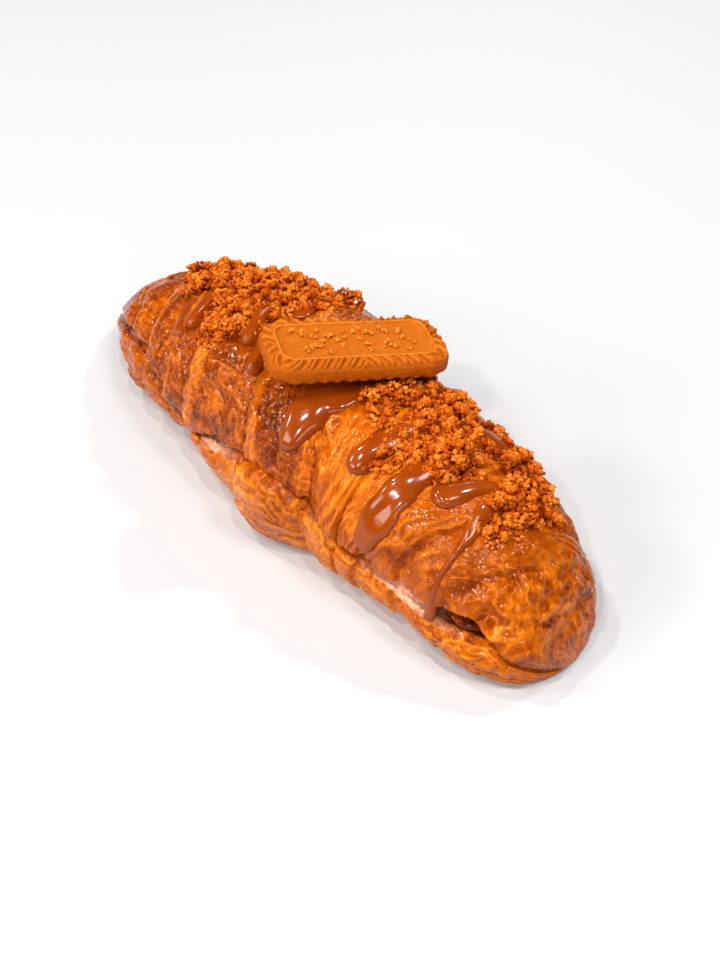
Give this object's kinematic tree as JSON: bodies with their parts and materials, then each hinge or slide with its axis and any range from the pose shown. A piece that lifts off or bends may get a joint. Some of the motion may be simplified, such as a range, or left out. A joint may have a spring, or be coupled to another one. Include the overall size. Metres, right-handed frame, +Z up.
{
  "type": "croissant",
  "caption": "A large glazed croissant sliced along its front, with spread in the slice, sauce and crumbs over the crest, and a caramelised biscuit laid across the top.",
  "frame": {"origin": "the middle of the flat underside, which is the bottom centre of the bounding box", "axes": "+X along the length towards the blunt end, +Z up, the sliced front faces -Y"},
  "size_m": [0.2339, 0.0878, 0.0691],
  "materials": {
    "crust": "baked, flaky and egg-glazed pastry, golden to dark brown",
    "spread": "smooth caramel-brown biscuit spread, wet and glossy",
    "biscuit": "dry caramelised biscuit with a fine grain"
  },
  "bodies": {
    "root": {"pastry": "crust", "spread_filling": "spread", "biscuit": "biscuit"}
  },
  "joints": []
}
